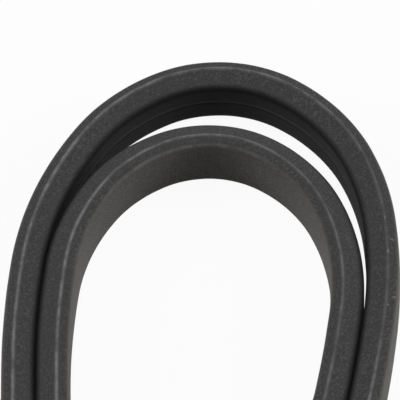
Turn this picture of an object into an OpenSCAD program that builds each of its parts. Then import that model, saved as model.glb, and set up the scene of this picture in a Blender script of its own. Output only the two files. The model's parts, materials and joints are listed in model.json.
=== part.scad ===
// Wrapped V-belt, an endless loop folded base to base and bent into a horseshoe.
// It lies on its side: the loop's plane is XY, and the belt's width runs along Z.
//
// One reference line runs all the way round, at the belt's widest line, halfway up its width.
// The section is drawn in two directions from it: depth (plus is towards the back, minus is
// towards the base) and width (plus is up). The line is a closed chain of arcs and straights,
// and each layer is its own profile swept along that chain.

/* [Cross-section] */
// Width over the two parting ribs
belt_w = 17; // [15:0.1:20]
// Height of the back's edges over the widest line
back_height = 2.9; // [2.5:0.05:3.6]
// Rise of the back's crown over its edges
crown_rise = 0.5; // [0.2:0.05:0.8]
// Depth of the base below the widest line
base_depth = 5.6; // [5:0.05:7]
// Slope of each flank against the loop's plane, in degrees
flank_angle = 20; // [16:0.5:22]
// How much each shoulder draws in between the widest line and the back
shoulder_fall = 0.3; // [0.1:0.05:0.6]
// Radius of the back's two edges
back_edge_r = 1.3; // [1.2:0.05:1.8]
// Radius of the base's two edges
base_edge_r = 2.2; // [1.2:0.05:2.6]
// Height of the rib that the mould's parting line leaves
rib_h = 0.2; // [0.1:0.02:0.35]
// Width of the parting rib
rib_w = 0.5; // [0.3:0.05:0.8]

/* [Layers] */
// Thickness of one ply of the fabric cover
ply_t = 0.5; // [0.4:0.02:0.55]
// Depth of the tensile cords' centres below the widest line
cord_drop = 0.4; // [0:0.05:0.8]
// Adhesion gum over the cords' centres
gum_over = 0.9; // [0.7:0.05:1.1]
// Adhesion gum under the cords' centres
gum_under = 0.9; // [0.7:0.05:1.2]
// Thickness of the cross-fibre rubber under the gum
fibre_t = 1.6; // [1.2:0.05:2]

/* [Tensile cords] */
// Diameter of one cord
cord_d = 1; // [0.8:0.02:1.05]
// Spacing of neighbouring turns
cord_pitch = 1.4; // [1.35:0.01:1.6]
// Gum left between the outermost turns and the cover
edge_gum = 0.25; // [0.15:0.05:0.5]
// Steepest slant of the turns where they step sideways, in degrees
step_slant = 20; // [16:1:24]

/* [Strands] */
// Gap between the two strands where they lie together
strand_gap = 0.4; // [0.3:0.05:1]
// Outer strand's radius low on the right leg
right_leg_r = 150; // [135:1:185]
// Outer strand's radius on the right shoulder
right_shoulder_r = 78; // [70:0.5:92]
// Outer strand's radius on the right haunch
right_haunch_r = 53.5; // [48:0.5:64]
// Outer strand's radius over the top
top_r = 35.5; // [33:0.5:41]
// Outer strand's radius on the left haunch
left_haunch_r = 51.5; // [46:0.5:60]
// Outer strand's radius on the left shoulder
left_shoulder_r = 100; // [88:0.5:115]
// How much tighter the inner strand bends on the right leg
inner_right_tuck = 60.5; // [48:0.5:64]
// How much wider the inner strand bends over the top
inner_top_ease = 4.5; // [3:0.25:5.5]

/* [Legs and end loops] */
// Radius of the closed strands on the left leg
left_pair_r = 260; // [220:1:330]
// Radius of the closed strands on the right leg
right_pair_r = 400; // [350:1:480]
// Straight run of the left leg before its end loop
leg_straight = 31; // [26:0.5:45]
// Radius of the base inside each end loop
end_loop_r = 14; // [12.5:0.25:18]

/* [Hidden] */

// Colours of fabric, rubber and cord
fabric_colour = "#37383a";
inner_fabric_colour = "#4a4842";
rubber_colour = "#1d1d1f";
gum_colour = "#2c2a28";
cord_colour = "#d9d2be";

// Half width of the body under the ribs, and the depths where the layers meet
body_half = belt_w / 2 - rib_h;
cords_at = -cord_drop;
gum_top = cords_at + gum_over;
gum_foot = cords_at - gum_under;
fibre_foot = gum_foot - fibre_t;
section_top = back_height + crown_rise;
plies = 2;
cover_t = plies * ply_t;

// The back's crown is an arc through both edges and the rise between them
crown_r = (pow(body_half, 2) + pow(crown_rise, 2)) / (2 * crown_rise);
crown_centre = section_top - crown_r;

// Facets of one rounded edge and of half the crown, and of a full circle
edge_steps = 3;
crown_steps = 3;
circle_steps = 360;
cord_steps = 24;

// Half width of the body at a depth, drawn in by an inset: on the shoulder and on the flank
function shoulder(depth, inset) = body_half - shoulder_fall * depth / back_height - inset;
function flank(depth, inset) =
    body_half + depth * tan(flank_angle) - inset / cos(flank_angle);

// Depth at which the inset shoulder and flank meet
function knee(inset) =
    inset * (1 / cos(flank_angle) - 1) / (tan(flank_angle) + shoulder_fall / back_height);

function arc_points(centre, r, from, to, steps) =
    [for (i = [0:steps]) let (a = from + (to - from) * i / steps) centre + r * [cos(a), sin(a)]];

// Upper half of the section's outline from the crown to the base, as seen along the belt
function half_outline(inset, rib) =
    let (
        back_r = back_edge_r - inset,
        base_r = base_edge_r - inset,
        back_w = shoulder(back_height, inset + back_r),
        back_at = [crown_centre + sqrt(pow(crown_r - inset - back_r, 2) - pow(back_w, 2)), back_w],
        back_turn = atan2(back_w, back_at[0] - crown_centre),
        base_at = [-base_depth + base_edge_r, flank(-base_depth + base_edge_r, base_edge_r)],
        knee_at = knee(inset)
    )
    concat(
        [for (i = [0:crown_steps - 1])
            let (a = back_turn * i / crown_steps)
            [crown_centre, 0] + (crown_r - inset) * [cos(a), sin(a)]],
        arc_points(back_at, back_r, back_turn, 90, edge_steps),
        rib > 0
            ? [[rib_w / 2, shoulder(rib_w / 2, inset)], [rib_w / 2, body_half + rib],
               [-rib_w / 2, body_half + rib], [-rib_w / 2, flank(-rib_w / 2, inset)]]
            : [[knee_at, flank(knee_at, inset)]],
        arc_points(base_at, base_r, 90 + flank_angle, 180, edge_steps)
    );

// The section's outline drawn in by an inset, with or without the parting ribs
module outline(inset, rib = 0) {
    upper = half_outline(inset, rib);
    last = len(upper) - 1;
    lower = [for (i = [last:-1:1]) [upper[i][0], -upper[i][1]]];
    polygon(concat(upper, lower));
}

// The part of the inside of the cover between two depths
module layer(low, high) {
    intersection() {
        outline(cover_t);
        translate([low, -belt_w]) square([high - low, 2 * belt_w]);
    }
}

// Turns of cord that fit side by side in the gum, always an even number: the pair is wound together
gum_w = 2 * flank(cords_at, cover_t);
pair = 2;
cord_turns = pair * floor(((gum_w - 2 * edge_gum - cord_d) / cord_pitch + 1) / pair);
function turn_width(turn) = (turn - (cord_turns + 1) / 2) * cord_pitch;

module cord_section(turns) {
    for (turn = turns) translate([cords_at, turn_width(turn)]) circle(d = cord_d, $fn = cord_steps);
}

all_turns = [1:cord_turns];
s_turns = [1:pair:cord_turns];
z_turns = [2:pair:cord_turns];

// The two strands' reference lines lie this far on each side of the line where they meet
half_spread = base_depth + strand_gap / 2;

// Headings of travel at which the strands' radii change, from the right leg over the top to the left
headings = [82, 94, 112, 145, 205, 235, 262];
outer_radii = [right_leg_r, right_shoulder_r, right_haunch_r, top_r, left_haunch_r, left_shoulder_r];
spans = len(outer_radii);
right_leg_foot = 78;
left_leg_foot = 270;

// Way from the start to the end of an arc of radius 1 that turns left between two headings
function arc_way(from, to) = [sin(to) - sin(from), cos(from) - cos(to)];
function cross(a, b) = a[0] * b[1] - a[1] * b[0];

// The inner strand's radii are smaller by the spread and by a share that opens the gap between the
// strands. The last two shares are worked out so that it meets the outer strand again on the left.
ways = [for (i = [0:spans - 1]) arc_way(headings[i], headings[i + 1])];
rest = -(inner_right_tuck * ways[0] - inner_top_ease * ways[3]);
share_solve = cross(ways[4], ways[5]);
shares = [
    inner_right_tuck, 0, 0, -inner_top_ease,
    cross(rest, ways[5]) / share_solve, cross(ways[4], rest) / share_solve
];
inner_radii = [for (i = [0:spans - 1]) outer_radii[i] - 2 * half_spread - shares[i]];

// Each end loop swings out from the closed strands by this turn, and comes back the same way
swing = 40;
loop_r = end_loop_r + base_depth;
swing_r = (loop_r * cos(swing) - half_spread) / (1 - cos(swing));
end_loop = [[-swing, swing_r, 0], [180 + 2 * swing, loop_r, 0], [-swing, swing_r, 0]];

// The whole line, one way round: turn in degrees (plus is left, zero is straight), radius, length
left_pair_turn = left_leg_foot - headings[spans];
right_pair_turn = headings[0] - right_leg_foot;
run = concat(
    [[right_pair_turn, right_pair_r + half_spread, 0]],
    [for (i = [0:spans - 1]) [headings[i + 1] - headings[i], outer_radii[i], 0]],
    [[left_pair_turn, left_pair_r + half_spread, 0], [0, 0, leg_straight]],
    end_loop,
    [[0, 0, leg_straight], [-left_pair_turn, left_pair_r - half_spread, 0]],
    [for (i = [spans - 1:-1:0]) [headings[i] - headings[i + 1], inner_radii[i], 0]],
    [[-right_pair_turn, right_pair_r - half_spread, 0]],
    end_loop
);
pieces = len(run);

// The straight on which the turns of cord step sideways: the inner strand's, on the left leg
step_piece = spans + 6;

function side(heading) = [sin(heading), -cos(heading)];
function heading_at(i) = i == 0 ? right_leg_foot : heading_at(i - 1) + run[i - 1][0];
function centre_of(p, heading, piece) = p - sign(piece[0]) * piece[1] * side(heading);
function end_of(p, heading, piece) =
    piece[0] == 0
        ? p + piece[2] * [cos(heading), sin(heading)]
        : centre_of(p, heading, piece) + sign(piece[0]) * piece[1] * side(heading + piece[0]);
function place_at(i) = i == 0 ? [0, 0] : end_of(place_at(i - 1), heading_at(i - 1), run[i - 1]);

turns_to = [for (i = [0:pieces]) heading_at(i)];
places = [for (i = [0:pieces]) place_at(i)];

// Furthest points of the back along X and Y, which lie where the line runs square to an axis
reach = [for (i = [0:pieces - 1], square_to = [0:90:540])
    if (run[i][0] > 0 && square_to >= turns_to[i] && square_to <= turns_to[i + 1])
        centre_of(places[i], turns_to[i], run[i]) + (run[i][1] + section_top) * side(square_to)];
middle = [for (axis = [0:1])
    (min([for (p = reach) p[axis]]) + max([for (p = reach) p[axis]])) / 2];

function length_of(piece) =
    piece[0] == 0 ? piece[2] : abs(piece[0]) * PI / 180 * piece[1];
function total(list, i = 0) = i == len(list) ? 0 : list[i] + total(list, i + 1);
line_length = total([for (piece = run) length_of(piece)]);
outside_length = line_length + 2 * PI * section_top;

// A place is set in two moves, coarse and fine, so that neighbouring pieces meet exactly
module move_to(place) {
    coarse = [for (c = place) round(c * 100) / 100];
    translate(coarse) translate(place - coarse) children();
}

module over_floor(place) {
    move_to([place[0] - middle[0], place[1] - middle[1], belt_w / 2]) children();
}

// Sweeps a profile along one piece of the line
module sweep_piece(i) {
    piece = run[i];
    heading = turns_to[i];
    centre = centre_of(places[i], heading, piece);
    if (piece[0] == 0) {
        over_floor(places[i + 1])
            rotate([90, 0, (heading - 90) % 360]) linear_extrude(piece[2]) children();
    } else if (piece[0] > 0) {
        over_floor(centre)
            rotate_extrude(start = (heading + 270) % 360, angle = piece[0], $fn = circle_steps)
                move_to([piece[1], 0]) children();
    } else {
        over_floor(centre)
            rotate_extrude(start = (heading + piece[0] + 90) % 360, angle = -piece[0], $fn = circle_steps)
                move_to([piece[1], 0]) mirror([1, 0]) children();
    }
}

module sweep_all() {
    for (i = [0:pieces - 1]) sweep_piece(i) children();
}

module sweep_all_but_step() {
    for (i = [0:pieces - 1]) if (i != step_piece) sweep_piece(i) children();
}

// Where the turns step over to make room for the next pair: two arcs, up and level again
step_w = pair * cord_pitch;
step_r = step_w / (2 * (1 - cos(step_slant)));
step_l = 2 * step_r * sin(step_slant);
step_end = places[step_piece + 1];

module stepping_turns(turns) {
    difference() {
        sweep_piece(step_piece) cord_section(turns);
        over_floor(step_end - [0, step_l])
            translate([-belt_w / 2, 0, -belt_w]) cube([belt_w, leg_straight, 2 * belt_w]);
    }
    for (turn = turns) if (turn + pair <= cord_turns) {
        move_to([step_end[0] - middle[0] + cords_at, step_end[1] - middle[1] - step_l,
            belt_w / 2 + turn_width(turn) + step_r])
            rotate([90, 0, 90]) step_arc(270);
        move_to([step_end[0] - middle[0] + cords_at, step_end[1] - middle[1],
            belt_w / 2 + turn_width(turn + pair) - step_r])
            rotate([90, 0, 90]) step_arc(90);
    }
}

module step_arc(start) {
    rotate_extrude(start = start, angle = step_slant, $fn = circle_steps)
        move_to([step_r, 0]) circle(d = cord_d, $fn = cord_steps);
}

// One cord of the pair, wound round and round as a single length
module cord_winding(turns) {
    sweep_all_but_step() cord_section(turns);
    stepping_turns(turns);
}

// A layer of gum moulded round one side of the cords
module gum(low, high) {
    sweep_all_but_step() difference() {
        layer(low, high);
        cord_section(all_turns);
    }
    difference() {
        sweep_piece(step_piece) layer(low, high);
        stepping_turns(all_turns);
    }
}

// Outer ply of the rubberised fabric cover, with the parting ribs
module cover_outer_ply() {
    color(fabric_colour) sweep_all() difference() {
        outline(0, rib_h);
        outline(ply_t);
    }
}

// Inner ply of the fabric cover
module cover_inner_ply() {
    color(inner_fabric_colour) sweep_all() difference() {
        outline(ply_t);
        outline(cover_t);
    }
}

// Rubber between the cover and the gum, under the back
module top_cushion() {
    color(rubber_colour) sweep_all() layer(gum_top, section_top);
}

module upper_gum() {
    color(gum_colour) gum(cords_at, gum_top);
}

module cord_s_twist() {
    color(cord_colour) cord_winding(s_turns);
}

module cord_z_twist() {
    color(cord_colour) cord_winding(z_turns);
}

module lower_gum() {
    color(gum_colour) gum(gum_foot, cords_at);
}

// Rubber stiffened by short fibres that lie across the belt
module cross_fibre_layer() {
    color(gum_colour) sweep_all() layer(fibre_foot, gum_foot);
}

// Compression rubber down to the base
module base_core() {
    color(rubber_colour) sweep_all() layer(-base_depth, fibre_foot);
}

echo(outside_length = outside_length, cord_turns = cord_turns,
    least_gap_between_turns = cord_pitch * cos(step_slant) - cord_d,
    least_gap_in_one_cord = step_w * cos(step_slant) - cord_d,
    thickness = section_top + base_depth, inner_radii = inner_radii, step_length = step_l);

cover_outer_ply();
cover_inner_ply();
top_cushion();
upper_gum();
cord_s_twist();
cord_z_twist();
lower_gum();
cross_fibre_layer();
base_core();
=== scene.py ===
"""Looks of a wrapped V-belt that is folded base to base and bent into a horseshoe.

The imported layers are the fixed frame. A detailed fabric cover takes the place of the plain outer
ply, and every layer under it gets its own rubber, gum, cloth or cord finish.
"""

import json
import logging
import math
from dataclasses import dataclass, field
from enum import Enum

import bpy
import numpy as np
from mathutils import Matrix, Vector

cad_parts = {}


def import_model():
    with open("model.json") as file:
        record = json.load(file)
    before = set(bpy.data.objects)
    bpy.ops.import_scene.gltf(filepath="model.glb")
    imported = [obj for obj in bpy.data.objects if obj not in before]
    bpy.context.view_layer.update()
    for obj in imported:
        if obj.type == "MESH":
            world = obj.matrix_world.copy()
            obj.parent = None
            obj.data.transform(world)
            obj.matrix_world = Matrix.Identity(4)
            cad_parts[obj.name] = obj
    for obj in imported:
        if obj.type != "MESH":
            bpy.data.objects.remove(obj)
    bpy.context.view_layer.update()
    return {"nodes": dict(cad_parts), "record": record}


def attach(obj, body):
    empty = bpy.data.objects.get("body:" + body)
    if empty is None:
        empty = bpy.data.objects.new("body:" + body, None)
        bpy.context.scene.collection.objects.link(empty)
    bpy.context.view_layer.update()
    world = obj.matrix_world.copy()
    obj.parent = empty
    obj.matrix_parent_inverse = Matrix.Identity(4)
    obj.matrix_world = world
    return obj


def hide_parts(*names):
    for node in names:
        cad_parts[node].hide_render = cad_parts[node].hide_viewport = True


logging.basicConfig(level=logging.INFO, format="%(message)s")
log = logging.getLogger("belt")

MM = 0.001


class Slot(Enum):
    """The record's material slots."""

    COVER = "cover_fabric"
    INNER = "inner_fabric"
    CUSHION = "cushion_rubber"
    GUM = "adhesion_gum"
    CORD = "tensile_cord"
    FIBRE = "fibre_rubber"
    CORE = "core_rubber"


@dataclass(frozen=True)
class Stretch:
    """One arc or straight of the belt's reference line, in millimetres and degrees.

    A positive turn bends to the left, and a turn of zero is a straight.
    """

    turn: float
    radius: float
    length: float
    start: Vector
    heading: float
    begins_at: float

    @property
    def centre(self) -> Vector:
        """Centre of the arc in plan."""
        return self.start - self.sense * self.radius * side(self.heading)

    @property
    def sense(self) -> float:
        """Plus one for a left turn and minus one for a right turn."""
        return math.copysign(1.0, self.turn)

    @property
    def end(self) -> Vector:
        """Point where the stretch ends."""
        if self.turn == 0:
            return self.start + self.length * ahead(self.heading)
        return self.centre + self.sense * self.radius * side(self.heading + self.turn)


def side(heading: float) -> Vector:
    """Unit vector towards the belt's back at a heading in degrees."""
    a = math.radians(heading)
    return Vector((math.sin(a), -math.cos(a)))


def ahead(heading: float) -> Vector:
    """Unit vector along the belt at a heading in degrees."""
    a = math.radians(heading)
    return Vector((math.cos(a), math.sin(a)))


@dataclass
class BeltLine:
    """The closed line at the belt's widest line, as a chain of arcs and straights."""

    base_depth: float = 5.6
    section_top: float = 3.4
    strand_gap: float = 0.4
    headings: tuple[float, ...] = (82, 94, 112, 145, 205, 235, 262)
    outer_radii: tuple[float, ...] = (150, 78, 53.5, 35.5, 51.5, 100)
    right_tuck: float = 60.5
    top_ease: float = 4.5
    right_foot: float = 78
    left_foot: float = 270
    right_pair_r: float = 400
    left_pair_r: float = 260
    leg: float = 31
    end_loop_r: float = 14
    swing: float = 40
    arc_lead: float = 0.5
    off_line: float = 1000.0
    stretches: list[Stretch] = field(default_factory=list)
    middle: Vector = field(default_factory=lambda: Vector((0, 0)))

    def __post_init__(self) -> None:
        """Works out the chain and the middle of the belt in plan."""
        at, heading, along = Vector((0.0, 0.0)), float(self.right_foot), 0.0
        for turn, radius, straight in self.chain():
            length = straight if turn == 0 else abs(math.radians(turn)) * radius
            self.stretches.append(Stretch(turn, radius, length, at, heading, along))
            at, heading, along = self.stretches[-1].end, heading + turn, along + length
        self.length = along
        reach = [
            s.centre + (s.radius + self.section_top) * side(square)
            for s in self.stretches
            for square in range(0, 541, 90)
            if s.turn > 0 and s.heading <= square <= s.heading + s.turn
        ]
        self.middle = Vector(
            [(min(p[k] for p in reach) + max(p[k] for p in reach)) / 2 for k in (0, 1)]
        )

    def inner_radii(self) -> list[float]:
        """Radii of the inner strand, which parts from the outer one and joins it again.

        Returns:
            One radius for each span between two headings.
        """
        half = self.base_depth + self.strand_gap / 2
        ways = [ahead_way(a, b) for a, b in zip(self.headings, self.headings[1:])]
        rest = -(self.right_tuck * ways[0] - self.top_ease * ways[3])
        share = ways[4].cross(ways[5])
        shares = [
            self.right_tuck, 0.0, 0.0, -self.top_ease,
            rest.cross(ways[5]) / share, ways[4].cross(rest) / share,
        ]
        return [r - 2 * half - s for r, s in zip(self.outer_radii, shares)]

    def chain(self) -> list[tuple[float, float, float]]:
        """The turns, radii and straight lengths of the whole line.

        Returns:
            (turn in degrees, radius, straight length) of each stretch, once round the belt.
        """
        half = self.base_depth + self.strand_gap / 2
        loop_r = self.end_loop_r + self.base_depth
        cosine = math.cos(math.radians(self.swing))
        swing_r = (loop_r * cosine - half) / (1 - cosine)
        loop = [
            (-self.swing, swing_r, 0.0),
            (180 + 2 * self.swing, loop_r, 0.0),
            (-self.swing, swing_r, 0.0),
        ]
        right = self.headings[0] - self.right_foot
        left = self.left_foot - self.headings[-1]
        spans = list(zip(self.headings, self.headings[1:]))
        outer = [(b - a, r, 0.0) for (a, b), r in zip(spans, self.outer_radii)]
        inner = [(a - b, r, 0.0) for (a, b), r in zip(spans, self.inner_radii())]
        return (
            [(right, self.right_pair_r + half, 0.0)] + outer
            + [(left, self.left_pair_r + half, 0.0), (0.0, 0.0, self.leg)] + loop
            + [(0.0, 0.0, self.leg), (-left, self.left_pair_r - half, 0.0)] + inner[::-1]
            + [(-right, self.right_pair_r - half, 0.0)] + loop
        )

    def measure(self, places: np.ndarray) -> np.ndarray:
        """Finds where points lie on the belt.

        Args:
            places: points in millimetres, one row each, in the part's frame.

        Returns:
            For each point its distance along the belt, its depth towards the back and its height.
        """
        found = np.full((len(places), 3), np.nan)
        nearest = np.full(len(places), np.inf)
        plan = places[:, :2] + np.array(self.middle)
        for s in self.stretches:
            out = np.array(side(s.heading))
            on = np.array(ahead(s.heading))
            if s.turn == 0:
                rel = plan - np.array(s.start)
                along, depth = rel @ on, rel @ out
            else:
                rel = (plan - np.array(s.centre)) * s.sense
                angle = np.arctan2((rel @ on) * s.sense, rel @ out)
                angle = np.where(angle < -self.arc_lead, angle + 2 * math.pi, angle)
                along = angle * s.radius
                depth = (np.hypot(*rel.T) - s.radius) * s.sense
            slip = np.clip(np.maximum(-along, along - s.length), 0, None)
            off = slip * self.off_line + np.abs(depth)
            near = off < nearest
            nearest[near] = off[near]
            found[near, 0] = s.begins_at + np.clip(along[near], 0, s.length)
            found[near, 1] = depth[near]
        found[:, 2] = places[:, 2]
        return found


def ahead_way(start: float, end: float) -> Vector:
    """Way from the start to the end of an arc of radius 1 that turns left between two headings."""
    a, b = math.radians(start), math.radians(end)
    return Vector((math.sin(b) - math.sin(a), math.cos(a) - math.cos(b)))


@dataclass
class BeltSection:
    """The belt's section in millimetres: depth towards the back, and height from its middle."""

    width: float = 17.0
    back_height: float = 2.9
    crown_rise: float = 0.5
    base_depth: float = 5.6
    flank_angle: float = 20.0
    shoulder_fall: float = 0.3
    back_edge_r: float = 1.3
    base_edge_r: float = 2.2
    rib_h: float = 0.2
    rib_rise: tuple[tuple[float, float], ...] = (
        (1.0, 0.0), (0.55, 0.01), (0.34, 0.05), (0.2, 0.13), (0.09, 0.185),
    )
    rib_fall: tuple[tuple[float, float], ...] = (
        (-0.1, 0.19), (-0.2, 0.15), (-0.33, 0.06), (-0.55, 0.012), (-1.0, 0.0),
    )
    flank_depths: tuple[float, ...] = (-1.7, -2.4)
    back_steps: int = 8
    back_edge_steps: int = 6
    base_edge_steps: int = 8
    lap_t: float = 0.13
    lap_at: float = 0.4
    lap_fade: float = 0.4
    lap_edge_w: float = 0.09
    lap_tuck: float = 0.05
    lap_tuck_w: float = 0.02
    lap_crease_w: float = 0.12
    over_heights: tuple[float, ...] = (1.6, 3.0)
    under_heights: tuple[float, ...] = (-3.0, -1.8, -0.7)

    def shoulder(self, depth: float) -> float:
        """Half width of the shoulder at a depth."""
        return self.body - self.shoulder_fall * depth / self.back_height

    def flank(self, depth: float) -> float:
        """Half width of the flank at a depth, under the widest line."""
        return self.body + depth * math.tan(math.radians(self.flank_angle))

    @property
    def body(self) -> float:
        """Half width under the rib."""
        return self.width / 2 - self.rib_h

    def half(self) -> list[tuple[float, float]]:
        """Upper half of the outline from the middle of the back to the base's edge.

        Returns:
            Points as (depth, half width).
        """
        crown_r = (self.body**2 + self.crown_rise**2) / (2 * self.crown_rise)
        crown_c = self.back_height + self.crown_rise - crown_r
        back_r, base_r = self.back_edge_r, self.base_edge_r
        back_w = self.shoulder(self.back_height) - back_r
        back_d = crown_c + math.sqrt((crown_r - back_r) ** 2 - back_w**2)
        turn = math.atan2(back_w, back_d - crown_c)
        base_d = base_r - self.base_depth
        base_w = self.flank(base_d) - base_r / math.cos(math.radians(self.flank_angle))
        points = [
            (crown_c + crown_r * math.cos(a), crown_r * math.sin(a))
            for a in (turn * k / self.back_steps for k in range(self.back_steps))
        ]
        points += self.edge(back_d, back_w, back_r, turn, math.pi / 2, self.back_edge_steps)
        points += [(d, self.shoulder(d) + h) for d, h in self.rib_rise]
        points.append((0.0, self.body + self.rib_h))
        points += [(d, self.flank(d) + h) for d, h in self.rib_fall]
        points += [(d, self.flank(d)) for d in self.flank_depths]
        start = math.radians(90 + self.flank_angle)
        return points + self.edge(base_d, base_w, base_r, start, math.pi, self.base_edge_steps)

    def edge(
        self, depth: float, width: float, radius: float, start: float, end: float, steps: int,
    ) -> list[tuple[float, float]]:
        """Points on a rounded edge of the section.

        Args:
            depth: the depth of the rounding's centre.
            width: the half width of its centre.
            radius: its radius.
            start: the angle where it starts, in radians from the back.
            end: the angle where it ends.
            steps: how many short sides stand for it.

        Returns:
            Points as (depth, half width).
        """
        return [
            (depth + radius * math.cos(a), width + radius * math.sin(a))
            for a in (start + (end - start) * k / steps for k in range(steps + 1))
        ]

    def outline(self) -> list[tuple[float, float]]:
        """Whole outline, from the lap's edge on the base up and round, back under the lap.

        Returns:
            Points as (depth, height). The upper half of the base stands proud by the lap.
        """
        upper = self.half()
        base, face = -self.base_depth, -self.base_depth - self.lap_t
        proud = [
            (d - self.lap_t * min(1.0, max(0.0, (base - d) / self.lap_fade + 1.0)), w)
            for d, w in upper
        ]
        over = [(face, h) for h in (self.lap_at + self.lap_edge_w, *self.over_heights)]
        lower = [(d, -w) for d, w in upper[1:]]
        under = [(base, h) for h in (*self.under_heights, self.lap_at - self.lap_crease_w)]
        tuck = [
            (base + self.lap_tuck, self.lap_at - self.lap_tuck_w),
            (face + self.lap_tuck, self.lap_at + self.lap_tuck_w),
        ]
        return over + proud[:0:-1] + upper[:1] + lower + under + tuck


class Board:
    """Node tree of one material, with short calls to add and join nodes."""

    def __init__(self, name: str) -> None:
        """Starts an empty material with its output and main shader.

        Args:
            name: the material's name.
        """
        self.material = bpy.data.materials.new(name)
        self.material.use_nodes = True
        self.tree = self.material.node_tree
        self.tree.nodes.clear()
        self.output = self.tree.nodes.new("ShaderNodeOutputMaterial")
        self.shader = self.tree.nodes.new("ShaderNodeBsdfPrincipled")
        self.join(self.shader.outputs["BSDF"], self.output.inputs["Surface"])

    def join(self, out: bpy.types.NodeSocket, into: bpy.types.NodeSocket) -> None:
        """Links an output to an input."""
        self.tree.links.new(out, into)

    def fill(self, socket: bpy.types.NodeSocket, value: object) -> None:
        """Links a socket or sets its value.

        Args:
            socket: the input to fill.
            value: another node's output, a number or a tuple of numbers.
        """
        if isinstance(value, bpy.types.NodeSocket):
            self.join(value, socket)
        else:
            socket.default_value = value

    def maths(self, operation: str, *values: object) -> bpy.types.NodeSocket:
        """Adds a Math node.

        Args:
            operation: the node's operation.
            values: its inputs, in order.

        Returns:
            The node's result.
        """
        node = self.tree.nodes.new("ShaderNodeMath")
        node.operation = operation
        for socket, value in zip(node.inputs, values):
            self.fill(socket, value)
        return node.outputs[0]

    def blend(self, share: object, low: tuple, high: object) -> bpy.types.NodeSocket:
        """Mixes two colours.

        Args:
            share: how much of the second colour shows, from 0 to 1.
            low: the first colour, or a node's output.
            high: the second colour, or a node's output.

        Returns:
            The mixed colour.
        """
        node = self.tree.nodes.new("ShaderNodeMix")
        node.data_type = "RGBA"
        self.fill(node.inputs[0], share)
        for socket, colour in ((node.inputs[6], low), (node.inputs[7], high)):
            self.fill(socket, colour if isinstance(colour, bpy.types.NodeSocket) else (*colour, 1))
        return node.outputs[2]

    def ramp(
        self, value: bpy.types.NodeSocket, start: float, end: float,
        low: float = 0.0, high: float = 1.0,
    ) -> bpy.types.NodeSocket:
        """Maps a range of values smoothly to another.

        Args:
            value: the value to map.
            start: where the range starts.
            end: where it ends.
            low: the result at its start.
            high: the result at its end.

        Returns:
            The mapped value.
        """
        node = self.tree.nodes.new("ShaderNodeMapRange")
        node.interpolation_type = "SMOOTHSTEP"
        for socket, number in zip(node.inputs, (value, start, end, low, high)):
            self.fill(socket, number)
        return node.outputs[0]

    def place(self) -> bpy.types.NodeSocket:
        """Object coordinates."""
        return self.tree.nodes.new("ShaderNodeTexCoord").outputs["Object"]

    def scaled(
        self, vector: bpy.types.NodeSocket, scale: tuple[float, float, float],
    ) -> bpy.types.NodeSocket:
        """Stretches a pattern's coordinates.

        Args:
            vector: the coordinates.
            scale: how many times each of them is stretched.

        Returns:
            The stretched coordinates.
        """
        node = self.tree.nodes.new("ShaderNodeMapping")
        self.join(vector, node.inputs["Vector"])
        node.inputs["Scale"].default_value = scale
        return node.outputs[0]

    def noise(
        self, vector: bpy.types.NodeSocket, scale: float, detail: float = 2.0,
        rough: float = 0.5,
    ) -> bpy.types.NodeSocket:
        """Adds a Noise texture.

        Args:
            vector: its coordinates.
            scale: its scale.
            detail: its octaves.
            rough: how much each octave adds.

        Returns:
            The noise from 0 to 1.
        """
        node = self.tree.nodes.new("ShaderNodeTexNoise")
        self.join(vector, node.inputs["Vector"])
        node.inputs["Scale"].default_value = scale
        node.inputs["Detail"].default_value = detail
        node.inputs["Roughness"].default_value = rough
        return node.outputs[0]

    def relief(
        self, height: bpy.types.NodeSocket, distance: float, strength: float = 1.0,
        under: bpy.types.NodeSocket | None = None,
    ) -> bpy.types.NodeSocket:
        """Adds a Bump node.

        Args:
            height: the height from 0 to 1.
            distance: the relief's depth in metres.
            strength: how strongly it shows.
            under: a coarser relief below it.

        Returns:
            The bent normal.
        """
        node = self.tree.nodes.new("ShaderNodeBump")
        node.inputs["Distance"].default_value = distance
        node.inputs["Strength"].default_value = strength
        self.join(height, node.inputs["Height"])
        if under is not None:
            self.join(under, node.inputs["Normal"])
        return node.outputs[0]


@dataclass(frozen=True)
class RubberFinish:
    """Matte moulded rubber or gum, for the layers under the cover."""

    name: str
    dark: tuple[float, float, float]
    pale: tuple[float, float, float]
    grain: float = 900.0
    roughness: float = 0.7
    fibre: tuple[float, float, float] = (1.0, 1.0, 1.0)
    cloud: float = 60.0
    rough_spread: float = 0.08
    grain_relief: float = 0.00008
    gloss: float = 0.2

    def build(self) -> bpy.types.Material:
        """Makes the material.

        Returns:
            The material, with fine grain that may be stretched into fibres.
        """
        board = Board(self.name)
        place = board.scaled(board.place(), self.fibre)
        grain = board.noise(place, self.grain, 3.0, 0.6)
        cloud = board.noise(board.place(), self.cloud)
        share = board.maths("MULTIPLY", board.ramp(grain, 0.42, 0.72), board.ramp(cloud, 0.2, 0.8))
        board.fill(board.shader.inputs["Base Color"], board.blend(share, self.dark, self.pale))
        dull, smooth = self.roughness + self.rough_spread, self.roughness - self.rough_spread
        board.fill(board.shader.inputs["Roughness"], board.ramp(grain, 0.2, 0.8, dull, smooth))
        board.fill(board.shader.inputs["Normal"], board.relief(grain, self.grain_relief, 0.5))
        board.shader.inputs["Specular IOR Level"].default_value = self.gloss
        return board.material


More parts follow.
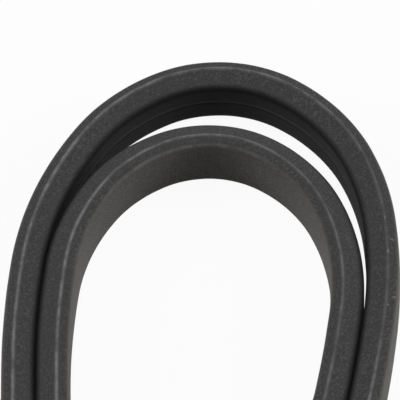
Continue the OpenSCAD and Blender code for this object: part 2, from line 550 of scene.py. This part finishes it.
@dataclass(frozen=True)
class CordFinish:
    """Dipped polyester cord: fine plies that wind round it."""

    name: str
    dark: tuple[float, float, float]
    pale: tuple[float, float, float]
    ply_scale: float = 260.0
    ply_bend: float = 1.2
    ply_relief: float = 0.0001
    hair_scale: float = 2600.0
    hair_stretch: tuple[float, float, float] = (1.0, 1.0, 4.0)

    def build(self) -> bpy.types.Material:
        """Makes the material.

        Returns:
            The material, with slanted plies and fine fibres.
        """
        board = Board(self.name)
        place = board.place()
        wave = board.tree.nodes.new("ShaderNodeTexWave")
        wave.bands_direction = "DIAGONAL"
        board.join(place, wave.inputs["Vector"])
        for key, number in (("Scale", self.ply_scale), ("Distortion", self.ply_bend)):
            wave.inputs[key].default_value = number
        ply = wave.outputs[1]
        hair = board.noise(board.scaled(place, self.hair_stretch), self.hair_scale)
        share = board.maths("MULTIPLY", board.ramp(ply, 0.1, 0.8), board.ramp(hair, 0.2, 0.6))
        board.fill(board.shader.inputs["Base Color"], board.blend(share, self.dark, self.pale))
        board.fill(board.shader.inputs["Roughness"], board.ramp(hair, 0.3, 0.7, 0.5, 0.7))
        board.fill(board.shader.inputs["Normal"], board.relief(ply, self.ply_relief, 0.7))
        return board.material


@dataclass(frozen=True)
class Scuff:
    """A short pale nick in the cloth, placed on the cloth's own map in millimetres.

    The place is the distance along the belt and round its section, and the lean is in degrees.
    """

    along: float
    round_by: float
    length: float
    breadth: float
    lean: float


@dataclass(frozen=True)
class ClothFinish:
    """Rubber-soaked cloth on the bias, pale where it is dusty, worn by rubbing or scuffed, with
    painted highlights on the rib and back edge and painted shade on the base.
    """

    name: str
    rubber: tuple[float, float, float]
    thread: tuple[float, float, float]
    # Pale colour of dust, rubbing and scuffs; it also paints the highlights on the rib and the
    # back edge.
    bloom_and_highlight: tuple[float, float, float]
    pitch: float
    mapped: bool = True
    back: tuple[float, float, float] = (0.072, 0.066, 0.062)
    # Near-black colour painted on the base faces as shade, where they face the other strand.
    base_shade_colour: tuple[float, float, float] = (0.004, 0.004, 0.004)
    scuffs: tuple[Scuff, ...] = ()
    scuff_tone: float = 0.55
    scuff_fray: float = 1.4
    thread_drift: float = 0.9
    soak_scale: float = 34.0
    fleck_scale: float = 1500.0
    grain_scale: float = 1800.0
    rub_scale: float = 260.0
    dust: float = 0.23
    soak_relief: float = 0.0004
    thread_relief: float = 0.00005
    grain_relief: float = 0.00004
    gloss: float = 0.1
    sheen: float = 0.06
    sheen_spread: float = 0.5

    def weave(self, board: Board) -> bpy.types.NodeSocket:
        """Adds the plain weave, with its threads at 45 degrees to the belt.

        Args:
            board: the material's nodes.

        Returns:
            The weave's height from 0 to 1.
        """
        if self.mapped:
            uv = board.tree.nodes.new("ShaderNodeUVMap")
            uv.uv_map = FabricCover.CLOTH_MAP
            start = uv.outputs[0]
        else:
            start = board.scaled(board.place(), (1000.0, 1000.0, 1000.0))
        bend = board.noise(start, 0.35)
        split = board.tree.nodes.new("ShaderNodeSeparateXYZ")
        board.join(start, split.inputs[0])
        u, v = split.outputs[0], split.outputs[1] if self.mapped else split.outputs[2]
        step = math.pi / (self.pitch * math.sqrt(2))
        drift = board.maths("MULTIPLY", bend, self.thread_drift)
        warp = board.maths("MULTIPLY_ADD", board.maths("ADD", u, v), step, drift)
        weft = board.maths("MULTIPLY_ADD", board.maths("SUBTRACT", u, v), step, drift)
        sines = [board.maths("SINE", a) for a in (warp, weft)]
        over = board.maths("GREATER_THAN", board.maths("MULTIPLY", *sines), 0.0)
        one, two = (board.maths("ABSOLUTE", s) for s in sines)
        warp_up = board.maths("MULTIPLY", one, board.maths("SQRT", two))
        weft_up = board.maths("MULTIPLY", two, board.maths("SQRT", one))
        rise = board.maths("MULTIPLY", over, board.maths("SUBTRACT", warp_up, weft_up))
        return board.maths("ADD", weft_up, rise)

    def mark(self, board: Board, name: str) -> bpy.types.NodeSocket:
        """Reads one of the cover's own marks, from 0 to 1."""
        node = board.tree.nodes.new("ShaderNodeAttribute")
        node.attribute_name = name
        return node.outputs["Fac"]

    def nicks(self, board: Board, grain: bpy.types.NodeSocket) -> bpy.types.NodeSocket:
        """Adds the scuffs.

        Args:
            board: the material's nodes.
            grain: fine noise that frays their edges.

        Returns:
            How much each place is scuffed, from 0 to 1.
        """
        uv = board.tree.nodes.new("ShaderNodeUVMap")
        uv.uv_map = FabricCover.CLOTH_MAP
        total: object = 0.0
        for scuff in self.scuffs:
            lay = board.tree.nodes.new("ShaderNodeMapping")
            lay.vector_type = "TEXTURE"
            board.join(uv.outputs[0], lay.inputs["Vector"])
            lay.inputs["Location"].default_value = (scuff.along, scuff.round_by, 0)
            lay.inputs["Rotation"].default_value = (0, 0, math.radians(scuff.lean))
            lay.inputs["Scale"].default_value = (scuff.length / 2, scuff.breadth / 2, 1)
            reach = board.tree.nodes.new("ShaderNodeVectorMath")
            reach.operation = "LENGTH"
            board.join(lay.outputs[0], reach.inputs[0])
            frayed = board.maths("MULTIPLY_ADD", grain, self.scuff_fray, reach.outputs["Value"])
            total = board.maths("MAXIMUM", board.ramp(frayed, 0.8, 1.9, 1.0, 0.0), total)
        return board.maths("MULTIPLY", total, self.scuff_tone)

    def build(self) -> bpy.types.Material:
        """Makes the material.

        Returns:
            The cloth, with its weave, uneven soaking, dust, pale rubbing, painted highlights,
            painted shade on the base and scuffs.
        """
        board = Board(self.name)
        place = board.place()
        weave = self.weave(board)
        cloud = board.noise(place, self.soak_scale, 3.0, 0.55)
        fleck = board.noise(place, self.fleck_scale, 2.0, 0.6)
        grain = board.noise(place, self.grain_scale, 2.0, 0.6)
        thread = board.ramp(weave, 0.25, 0.95)
        thread = board.maths("MULTIPLY", thread, board.ramp(grain, 0.2, 0.75))
        base = board.blend(thread, self.rubber, self.thread)
        dust = board.maths(
            "MULTIPLY", board.ramp(fleck, 0.44, 0.76), board.ramp(cloud, 0.3, 0.7, 0.6, 1.0)
        )
        bloom_and_highlight = board.maths("MULTIPLY", dust, self.dust)
        if self.mapped:
            polish = board.ramp(grain, 0.3, 0.7, 0.55, 1.0)
            worn_back = board.maths("MULTIPLY", self.mark(board, FabricCover.BACK), polish)
            base = board.blend(worn_back, base, self.back)
            # Painted shade: the base faces, which face the other strand, are painted near black,
            # and no dust is laid on them.
            inside = self.mark(board, FabricCover.BASE_SHADE_MARK)
            base = board.blend(inside, base, self.base_shade_colour)
            bloom_and_highlight = board.maths("MULTIPLY", bloom_and_highlight, board.maths("SUBTRACT", 1.0, inside))
            # Patchy pale rubbing on the rib and base edge, with painted highlights on the rib and
            # along the back edge.
            patchy = board.noise(place, self.rub_scale, 3.0, 0.65)
            patchy = board.ramp(patchy, 0.3, 0.66, 0.4, 1.15)
            rub_and_highlight = board.maths("MULTIPLY", self.mark(board, FabricCover.RUB_AND_HIGHLIGHT), patchy)
            rub_and_highlight = board.maths("MULTIPLY", rub_and_highlight, board.ramp(fleck, 0.25, 0.6, 0.7, 1.0))
            bloom_and_highlight = board.maths("MAXIMUM", bloom_and_highlight, rub_and_highlight)
            bloom_and_highlight = board.maths("MAXIMUM", bloom_and_highlight, self.nicks(board, grain))
        colour = board.blend(bloom_and_highlight, base, self.bloom_and_highlight)
        board.fill(board.shader.inputs["Base Color"], colour)
        board.fill(board.shader.inputs["Roughness"], board.ramp(weave, 0.2, 1.0, 0.8, 0.6))
        soaked = board.relief(cloud, self.soak_relief, 0.15)
        cloth = board.relief(weave, self.thread_relief, 0.8, soaked)
        fine = board.relief(grain, self.grain_relief, 0.6, cloth)
        board.fill(board.shader.inputs["Normal"], fine)
        board.shader.inputs["Specular IOR Level"].default_value = self.gloss
        board.shader.inputs["Sheen Weight"].default_value = self.sheen
        board.shader.inputs["Sheen Roughness"].default_value = self.sheen_spread
        return board.material


@dataclass(frozen=True)
class EdgeRubAndHighlight:
    """A pale band along an edge of the section, in millimetres, strongest at its middle: wear on
    the base edge, a painted highlight on the back edge.
    """

    depth: float
    height: float
    reach: float
    full: float = 1.0

    def share(self, depth: np.ndarray, height: np.ndarray) -> np.ndarray:
        """How pale the band is at some places.

        Args:
            depth: each place's depth towards the back.
            height: each place's height from the section's middle.

        Returns:
            The band's strength at each place, from 0 to 1.
        """
        off = np.hypot(depth - self.depth, height - self.height)
        return np.clip(self.full - off / self.reach, 0, 1)


@dataclass
class FabricCover:
    """Outer ply of the rubberised cloth cover, with its parting ribs and the lap on its base."""

    CLOTH_MAP = "Cloth"
    SHEET_MAP = "OFBake"
    # Mark of pale rubbing, partly wear and partly painted highlight.
    RUB_AND_HIGHLIGHT = "rubbed_and_highlit"
    BACK = "worn_back"
    # Mark of the base faces, which get painted shade.
    BASE_SHADE_MARK = "painted_base_shade"

    line: BeltLine
    section: BeltSection
    ring_step: float = 1.1
    point_gap: float = 0.000005
    ring_gap: float = 0.00002
    rib_at: float = -0.02
    rib_reach: float = 0.5
    rib_full: float = 1.3
    rib_band: float = 0.25
    rib_tone: float = 0.6
    # Strength of the rib's paleness along the belt, weaker along the right side of both strands:
    # partly wear, partly a painted highlight.
    rib_rub_and_highlight: tuple[tuple[float, float], ...] = (
        (0, 1.0), (25, 0.4), (80, 0.4), (125, 1.0), (565, 1.0), (600, 0.6), (665, 0.6), (690, 1.0),
    )
    base_edge: EdgeRubAndHighlight = EdgeRubAndHighlight(-4.4, 6.4, 1.2)
    base_edge_tone: float = 0.05
    # Painted highlight along the back's rounded edge, strongest along the top of the inner strand.
    back_edge: EdgeRubAndHighlight = EdgeRubAndHighlight(2.85, 7.25, 0.6, 1.2)
    back_edge_highlight: tuple[tuple[float, float], ...] = (
        (0, 0.12), (525, 0.12), (548, 0.36), (574, 0.36), (594, 0.12),
    )
    back_from: float = 2.1
    back_fade: float = 0.9
    base_from: float = -4.1
    base_fade: float = 1.2
    strips: int = 4
    strip_margin: float = 1.5
    strip_foot: float = 0.02
    strip_share: float = 0.94
    press_size: float = 0.009
    press_depth: float = 0.00009
    smooth_under: float = 40.0
    name: str = "woven_cover"

    def at(self, stretch: Stretch, point: tuple[float, float]) -> Vector:
        """Place of a point of the section at a stretch's start, in metres."""
        plan = stretch.start - self.line.middle + point[0] * side(stretch.heading)
        return Vector((*plan, point[1] + self.section.width / 2)) * MM

    def trace(self, outline: list[tuple[float, float]]) -> bpy.types.Object:
        """Draws the section at the line's start, edge after edge.

        Args:
            outline: the section's points.

        Returns:
            The piece, in edit mode, with its section closed and selected.
        """
        first = self.line.stretches[0]
        ring = [self.at(first, p) for p in outline]
        bpy.ops.object.select_all(action="DESELECT")
        bpy.ops.mesh.primitive_plane_add(size=MM, location=ring[0])
        piece = bpy.context.object
        bpy.ops.object.transform_apply(location=True, rotation=True, scale=True)
        bpy.ops.object.mode_set(mode="EDIT")
        bpy.ops.mesh.merge(type="CENTER")
        for here, there in zip(ring, ring[1:] + ring[:1]):
            bpy.ops.mesh.extrude_region_move(TRANSFORM_OT_translate={"value": there - here})
        bpy.ops.mesh.select_all(action="SELECT")
        bpy.ops.mesh.remove_doubles(threshold=self.point_gap)
        return piece

    def follow(self) -> None:
        """Spins and extrudes the selected section along the whole line, and closes the ring."""
        for s in self.line.stretches:
            steps = max(2, math.ceil(s.length / self.ring_step))
            if s.turn == 0:
                step = Vector((*ahead(s.heading), 0)) * s.length * MM / steps
                for _ in range(steps):
                    bpy.ops.mesh.extrude_region_move(TRANSFORM_OT_translate={"value": step})
            else:
                centre = Vector((*(s.centre - self.line.middle), 0)) * MM
                bpy.ops.mesh.spin(
                    steps=steps, angle=-math.radians(s.turn), center=centre, axis=(0, 0, 1)
                )
        bpy.ops.mesh.select_all(action="SELECT")
        bpy.ops.mesh.remove_doubles(threshold=self.ring_gap)
        bpy.ops.mesh.normals_make_consistent(inside=False)
        bpy.ops.object.mode_set(mode="OBJECT")

    def lay_cloth(self, piece: bpy.types.Object, outline: list[tuple[float, float]]) -> None:
        """Maps the cloth on the piece in millimetres, and marks where it rubs, where it carries
        painted highlights and where it is painted with shade.

        Args:
            piece: the swept cover.
            outline: the section's points.
        """
        mesh = piece.data
        count = len(mesh.vertices)
        places = np.empty(count * 3, np.float32)
        mesh.vertices.foreach_get("co", places)
        places = places.reshape(-1, 3).astype(float) / MM - (0, 0, self.section.width / 2)
        found = self.line.measure(places)
        marks = np.array(outline)
        gaps = np.hypot(*(np.roll(marks, -1, axis=0) - marks).T)
        round_by = np.concatenate([[0.0], np.cumsum(gaps)])
        nearest = np.array([np.argmin(((marks - p) ** 2).sum(1)) for p in found[:, 1:]])
        corners = np.empty(len(mesh.loops), np.int32)
        mesh.loops.foreach_get("vertex_index", corners)
        starts = np.empty(len(mesh.polygons), np.int32)
        mesh.polygons.foreach_get("loop_start", starts)
        sizes = np.diff(np.append(starts, len(corners)))
        cloth = []
        for values, whole in ((found[:, 0], self.line.length), (round_by[nearest], round_by[-1])):
            at = values[corners]
            high = np.repeat(np.maximum.reduceat(at, starts), sizes)
            low = np.repeat(np.minimum.reduceat(at, starts), sizes)
            cloth.append(np.where((high - low > whole / 2) & (at < whole / 2), at + whole, at))
        layer = mesh.uv_layers.new(name=self.CLOTH_MAP)
        layer.uv.foreach_set("vector", np.stack(cloth, 1).astype(np.float32).ravel())
        first = np.repeat(np.minimum.reduceat(cloth[0], starts), sizes)
        self.lay_sheet(mesh, cloth[0], cloth[1] / round_by[-1], first)
        for name, values in self.wear(found).items():
            mark = mesh.attributes.new(name, "FLOAT", "POINT")
            mark.data.foreach_set("value", values.astype(np.float32))

    def wear(self, found: np.ndarray) -> dict[str, np.ndarray]:
        """Works out where the cover is pale from rubbing and painted highlights, browned on the
        back, and painted dark with shade on the base.

        Args:
            found: each point's distance along the belt, its depth and its height.

        Returns:
            The values of each mark, from 0 to 1.
        """
        along, depth, height = found[:, 0], found[:, 1], np.abs(found[:, 2])
        # Pale rib: partly wear, partly painted highlight.
        rib = np.clip(self.rib_full - np.abs(depth - self.rib_at) / self.rib_reach, 0, 1)
        rib *= height > self.section.body - self.rib_band
        rib *= self.rib_tone * np.interp(along, *zip(*self.rib_rub_and_highlight))
        # Painted highlight along the back's rounded edge.
        back_edge = self.back_edge.share(depth, height)
        back_edge *= np.interp(along, *zip(*self.back_edge_highlight))
        base_edge = self.base_edge_tone * self.base_edge.share(depth, height)
        return {
            self.RUB_AND_HIGHLIGHT: rib + base_edge + back_edge,
            self.BACK: np.clip((depth - self.back_from) / self.back_fade, 0, 1),
            # Painted shade on the base faces, which face the other strand.
            self.BASE_SHADE_MARK: np.clip((self.base_from - depth) / self.base_fade, 0, 1),
        }

    def lay_sheet(
        self, mesh: bpy.types.Mesh, along: np.ndarray, across: np.ndarray, first: np.ndarray,
    ) -> None:
        """Lays the whole cover out flat on one square sheet, as a few strips above each other.

        Args:
            mesh: the swept cover's mesh.
            along: each corner's distance along the belt in millimetres.
            across: each corner's share of the way round the section.
            first: the least distance along among the corners of the same face.
        """
        strip_l = self.line.length / self.strips
        strip = np.clip(first // strip_l, 0, self.strips - 1)
        margin = self.strip_margin
        u = (along - strip * strip_l + margin) / (strip_l + 2 * margin + self.ring_step)
        v = (strip + self.strip_foot + self.strip_share * across) / self.strips
        layer = mesh.uv_layers.new(name=self.SHEET_MAP)
        layer.uv.foreach_set("vector", np.stack([u, v], 1).astype(np.float32).ravel())

    def build(self, finish: bpy.types.Material) -> bpy.types.Object:
        """Makes the whole cover.

        Args:
            finish: the cloth's material.

        Returns:
            The cover, with its place in its mesh.
        """
        outline = self.section.outline()
        piece = self.trace(outline)
        self.follow()
        self.lay_cloth(piece, outline)
        uneven = bpy.data.textures.new("uneven_wrap", "CLOUDS")
        uneven.noise_scale = self.press_size
        press = piece.modifiers.new("uneven_wrap", "DISPLACE")
        press.texture, press.texture_coords = uneven, "LOCAL"
        press.strength, press.mid_level = self.press_depth, 0.5
        bpy.ops.object.modifier_apply(modifier=press.name)
        bpy.ops.object.shade_smooth_by_angle(angle=math.radians(self.smooth_under))
        piece.name = piece.data.name = self.name
        piece.data.materials.clear()
        piece.data.materials.append(finish)
        return piece


def in_sight(tree: bpy.types.NodeTree) -> bpy.types.NodeSocket:
    """Tells the rays that look at the background from those that only light the belt.

    Args:
        tree: the node tree of the floor's material or of the world.

    Returns:
        One for what the camera sees, straight, in a mirror or through glass, and zero otherwise.
    """
    path = tree.nodes.new("ShaderNodeLightPath")
    seen = path.outputs["Is Camera Ray"]
    for ray in ("Is Glossy Ray", "Is Transmission Ray"):
        either = tree.nodes.new("ShaderNodeMath")
        either.operation = "MAXIMUM"
        tree.links.new(seen, either.inputs[0])
        tree.links.new(path.outputs[ray], either.inputs[1])
        seen = either.outputs[0]
    return seen


@dataclass(frozen=True)
class SoftBox:
    """A square soft lamp that points at the belt, in metres and watts."""

    name: str
    place: tuple[float, float, float]
    size: float
    power: float

    def hang(self) -> None:
        """Puts the lamp in the scene."""
        light = bpy.data.lights.new(self.name, "AREA")
        light.size, light.energy = self.size, self.power
        lamp = bpy.data.objects.new(self.name, light)
        lamp.location = self.place
        lamp.rotation_euler = (-Vector(self.place)).to_track_quat("-Z", "Y").to_euler()
        bpy.context.scene.collection.objects.link(lamp)


@dataclass
class Studio:
    """Pale floor, soft lamps and the long lens."""

    eye: Vector = field(default_factory=lambda: Vector((0.015357, -0.956537, 1.284162)))
    azimuth: float = -0.465
    elevation: float = 51.58
    roll: float = -1.848
    lens: float = 540.0
    sensor: float = 36.0
    clip: tuple[float, float] = (0.05, 50.0)
    floor_size: float = 8.0
    floor_drop: float = 0.0001
    floor_tone: float = 0.86
    floor_rough: float = 0.9
    floor_gloss: float = 0.1
    floor_glow: float = 0.94
    room_light: float = 0.25
    lamps: tuple[SoftBox, ...] = (
        SoftBox("right_box", (1.4, 0.1, 0.6), 0.8, 16.2),
        SoftBox("left_box", (-1.4, 0.1, 0.7), 0.8, 13.8),
        SoftBox("top_box", (0.0, 0.6, 1.6), 0.9, 4.0),
    )

    def camera(self) -> None:
        """Sets the camera as the photograph was taken, from far off and above."""
        az, el, ro = (math.radians(a) for a in (self.azimuth, self.elevation, self.roll))
        view = Vector((math.sin(az) * math.cos(el), math.cos(az) * math.cos(el), -math.sin(el)))
        level = view.cross(Vector((0, 0, 1))).normalized()
        rise = level.cross(view)
        right = level * math.cos(ro) + rise * math.sin(ro)
        up = rise * math.cos(ro) - level * math.sin(ro)
        lens = bpy.data.cameras.new("long_lens")
        lens.lens, lens.sensor_width, lens.sensor_fit = self.lens, self.sensor, "HORIZONTAL"
        lens.clip_start, lens.clip_end = self.clip
        camera = bpy.data.objects.new("long_lens", lens)
        turn = Matrix((right, up, -view)).transposed().to_4x4()
        camera.matrix_world = Matrix.Translation(self.eye) @ turn
        bpy.context.scene.collection.objects.link(camera)
        bpy.context.scene.camera = camera

    def floor(self) -> bpy.types.Object:
        """Lays a wide pale floor just under the belt.

        Returns:
            The floor.
        """
        board = Board("pale_floor")
        board.shader.inputs["Base Color"].default_value = (*[self.floor_tone] * 3, 1)
        board.shader.inputs["Roughness"].default_value = self.floor_rough
        board.shader.inputs["Specular IOR Level"].default_value = self.floor_gloss
        seen = in_sight(board.tree)
        glow = board.tree.nodes.new("ShaderNodeEmission")
        glow.inputs["Strength"].default_value = 1.0
        both = board.tree.nodes.new("ShaderNodeMixShader")
        board.fill(both.inputs[0], board.maths("MULTIPLY", seen, self.floor_glow))
        board.join(board.shader.outputs[0], both.inputs[1])
        board.join(glow.outputs[0], both.inputs[2])
        board.join(both.outputs[0], board.output.inputs["Surface"])
        bpy.ops.object.select_all(action="DESELECT")
        place = (0, 0, -self.floor_drop)
        bpy.ops.mesh.primitive_plane_add(size=self.floor_size, location=place)
        floor = bpy.context.object
        bpy.ops.object.transform_apply(location=True, rotation=True, scale=True)
        floor.name = "pale_floor"
        floor.data.materials.append(board.material)
        return floor

    def light(self) -> None:
        """Hangs the lamps and sets the world's soft white."""
        for lamp in self.lamps:
            lamp.hang()
        world = bpy.data.worlds.new("white_room")
        world.use_nodes = True
        tree = world.node_tree
        air = tree.nodes["Background"]
        air.inputs["Color"].default_value = (1, 1, 1, 1)
        level = tree.nodes.new("ShaderNodeMapRange")
        tree.links.new(in_sight(tree), level.inputs[0])
        level.inputs[3].default_value, level.inputs[4].default_value = self.room_light, 1.0
        tree.links.new(level.outputs[0], air.inputs["Strength"])
        bpy.context.scene.world = world
        bpy.context.scene.view_settings.view_transform = "Standard"


@dataclass
class VBelt:
    """The whole belt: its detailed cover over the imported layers."""

    nodes: dict[str, bpy.types.Object]
    cover: FabricCover = field(default_factory=lambda: FabricCover(BeltLine(), BeltSection()))

    def finishes(self) -> dict[Slot, bpy.types.Material]:
        """Makes every finish of the belt.

        Returns:
            A material for each slot.
        """
        made = {
            Slot.COVER: ClothFinish(
                "cover_cloth", (0.037, 0.037, 0.037), (0.062, 0.062, 0.061),
                # Pale colour for dust and rubbing, also used for the painted highlights.
                (0.26, 0.26, 0.255), 0.62,
                scuffs=(
                    Scuff(60.0, 11.6, 2.0, 0.6, 0),
                    Scuff(52.6, 13.0, 0.7, 1.7, 20),
                    Scuff(48.6, 11.7, 2.2, 0.8, 0),
                    Scuff(33.5, 13.7, 0.8, 1.6, -25),
                    Scuff(30.6, 12.2, 1.0, 0.6, 15),
                ),
            ),
            Slot.INNER: ClothFinish(
                "inner_cloth", (0.035, 0.032, 0.028), (0.11, 0.1, 0.085),
                (0.16, 0.15, 0.13), 0.62, mapped=False,
            ),
            Slot.CUSHION: RubberFinish("cushion_rubber", (0.01, 0.01, 0.011), (0.03, 0.03, 0.031)),
            Slot.GUM: RubberFinish(
                "adhesion_gum", (0.018, 0.016, 0.015), (0.045, 0.041, 0.037), 500.0, 0.6
            ),
            Slot.CORD: CordFinish("tensile_cord", (0.34, 0.29, 0.2), (0.68, 0.63, 0.52)),
            Slot.FIBRE: RubberFinish(
                "cross_fibre", (0.016, 0.015, 0.014), (0.16, 0.145, 0.115), 1400.0, 0.75,
                (1.0, 1.0, 0.12),
            ),
            Slot.CORE: RubberFinish("core_rubber", (0.009, 0.009, 0.01), (0.026, 0.026, 0.027)),
        }
        return {slot: finish.build() for slot, finish in made.items()}

    def dress(self, record: dict) -> None:
        """Gives each packed layer its finish, and puts the detailed cover over them.

        Args:
            record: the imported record, which names each node's slot.
        """
        finishes = self.finishes()
        for row in record["subparts"]:
            node, slot = self.nodes[row["node"]], Slot(row["material_slot"])
            if not node.material_slots:
                node.data.materials.append(finishes[slot])
            for place in node.material_slots:
                place.material = finishes[slot]
            log.info("%s is finished as %s", node.name, slot.value)
        cover = self.cover.build(finishes[Slot.COVER])
        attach(cover, "root")
        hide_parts("cover_outer_ply")
        log.info("%s has %d faces", cover.name, len(cover.data.polygons))


def corners(box: tuple) -> list[list[float]]:
    """A box's two corners as plain lists."""
    return [[float(v) for v in corner] for corner in box]


def main() -> None:
    """Builds the studio and the belt."""
    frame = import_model()
    studio = Studio()
    studio.camera()
    VBelt(frame["nodes"]).dress(frame["record"])
    studio.floor()
    studio.light()


if __name__ == "__main__":
    main()
